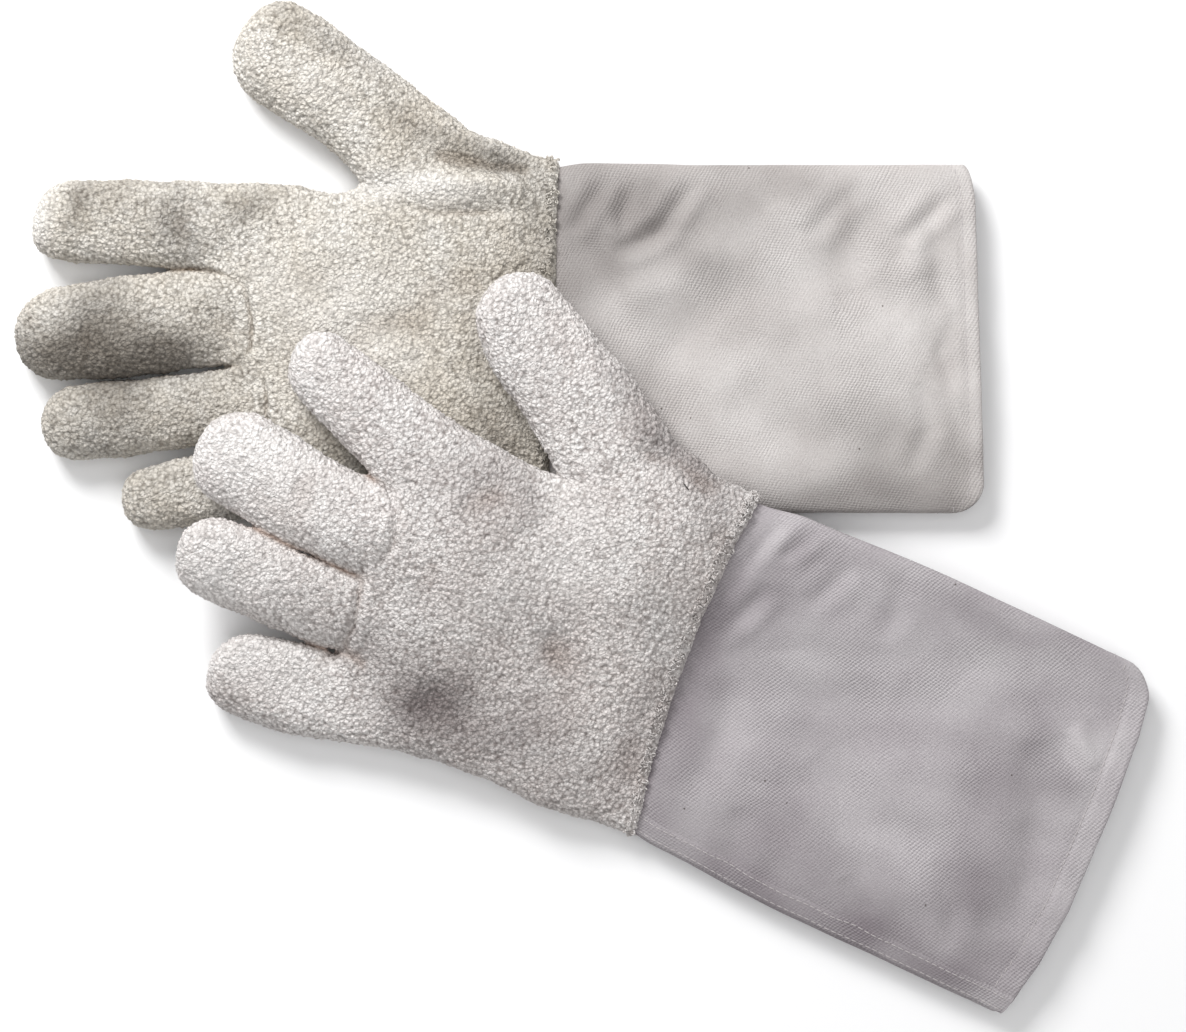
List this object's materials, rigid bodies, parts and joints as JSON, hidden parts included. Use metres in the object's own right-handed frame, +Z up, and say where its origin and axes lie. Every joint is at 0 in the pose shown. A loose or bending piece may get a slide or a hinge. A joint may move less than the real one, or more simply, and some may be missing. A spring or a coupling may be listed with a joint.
{
  "type": "gauntlet work gloves",
  "caption": "Pair of long beekeeping gauntlet gloves: loop-pile terry hands with folding fingers, seamed to straight open canvas cuffs, one lying across the other.",
  "frame": {"origin": "centre of the pair's outline, on the surface that the gloves lie on", "axes": "+X along the right glove from its fingers to its cuff's mouth, +Y towards the right glove's thumb, +Z up"},
  "size_m": [0.4574, 0.4017, 0.0448],
  "materials": {
    "terry_right": "unbleached cream loop-pile terry, loops about 2 mm",
    "terry_left": "off-white loop-pile terry, loops about 2 mm",
    "canvas_right": "warm grey cotton drill, fine diagonal twill",
    "canvas_left": "cool grey cotton drill, fine diagonal twill"
  },
  "bodies": {
    "right_glove": {"right_palm_upper": "terry_right", "right_palm_under": "terry_right", "right_wrist_seam": "canvas_right", "right_cuff": "canvas_right", "right_cuff_hem": "canvas_right", "right_cuff_lap": "canvas_right"},
    "right_index": {"right_index_upper": "terry_right", "right_index_under": "terry_right"},
    "right_middle": {"right_middle_upper": "terry_right", "right_middle_under": "terry_right"},
    "right_ring_tip": {"right_ring_tip_upper": "terry_right", "right_ring_tip_under": "terry_right"},
    "right_little_tip": {"right_little_tip_upper": "terry_right", "right_little_tip_under": "terry_right"},
    "right_thumb": {"right_thumb_upper": "terry_right", "right_thumb_under": "terry_right"},
    "left_hand": {"left_palm_upper": "terry_left", "left_palm_under": "terry_left", "left_wrist_seam": "canvas_left"},
    "left_index": {"left_index_upper": "terry_left", "left_index_under": "terry_left"},
    "left_middle": {"left_middle_upper": "terry_left", "left_middle_under": "terry_left"},
    "left_ring": {"left_ring_upper": "terry_left", "left_ring_under": "terry_left"},
    "left_little": {"left_little_upper": "terry_left", "left_little_under": "terry_left"},
    "left_thumb": {"left_thumb_upper": "terry_left", "left_thumb_under": "terry_left"},
    "left_cuff": {"left_cuff": "canvas_left", "left_cuff_hem": "canvas_left", "left_cuff_lap": "canvas_left"}
  },
  "joints": [
    {"name": "left_glove_lift", "type": "slide", "parent": "right_glove", "child": "left_hand", "axis": [0, 0, 1], "range_m": [0, 0.12]},
    {"name": "right_index_fold", "type": "hinge", "parent": "right_glove", "child": "right_index", "pos_m": [-0.1547, 0.1129, 0.01942], "axis": [0.0349, 0.9994, 0], "range_deg": [0, 60]},
    {"name": "right_middle_fold", "type": "hinge", "parent": "right_glove", "child": "right_middle", "pos_m": [-0.1532, 0.07547, 0.0194], "axis": [-0.0958, 0.9954, 0], "range_deg": [0, 60]},
    {"name": "right_ring_fold", "type": "hinge", "parent": "right_glove", "child": "right_ring_tip", "pos_m": [-0.1727, 0.03577, 0.0194], "axis": [-0.1132, 0.9936, 0], "range_deg": [0, 60]},
    {"name": "right_little_fold", "type": "hinge", "parent": "right_glove", "child": "right_little_tip", "pos_m": [-0.1627, 0.00493, 0.0194], "axis": [-0.1392, 0.9903, 0], "range_deg": [0, 60]},
    {"name": "right_thumb_fold", "type": "hinge", "parent": "right_glove", "child": "right_thumb", "pos_m": [-0.0897, 0.15878, 0.0229], "axis": [0.5878, 0.809, 0], "range_deg": [0, 60]},
    {"name": "left_index_fold", "type": "hinge", "parent": "left_hand", "child": "left_index", "pos_m": [-0.06873, 0.02639, 0.04366], "axis": [0.6143, 0.7891, 0], "range_deg": [0, 60]},
    {"name": "left_middle_fold", "type": "hinge", "parent": "left_hand", "child": "left_middle", "pos_m": [-0.08467, -0.00915, 0.04312], "axis": [0.4446, 0.8957, 0], "range_deg": [0, 60]},
    {"name": "left_ring_fold", "type": "hinge", "parent": "left_hand", "child": "left_ring", "pos_m": [-0.09925, -0.04056, 0.0344], "axis": [0.3811, 0.9245, 0], "range_deg": [0, 60]},
    {"name": "left_little_fold", "type": "hinge", "parent": "left_hand", "child": "left_little", "pos_m": [-0.10851, -0.07475, 0.02084], "axis": [0.2487, 0.9686, 0], "range_deg": [0, 60]},
    {"name": "left_thumb_fold", "type": "hinge", "parent": "left_hand", "child": "left_thumb", "pos_m": [0.00081, 0.03487, 0.03888], "axis": [0.8471, 0.5314, 0], "range_deg": [0, 60]},
    {"name": "left_cuff_fold", "type": "hinge", "parent": "left_hand", "child": "left_cuff", "pos_m": [0.0433, -0.0636, 0.03187], "axis": [-0.3404, -0.9403, 0], "range_deg": [0, 60]}
  ]
}
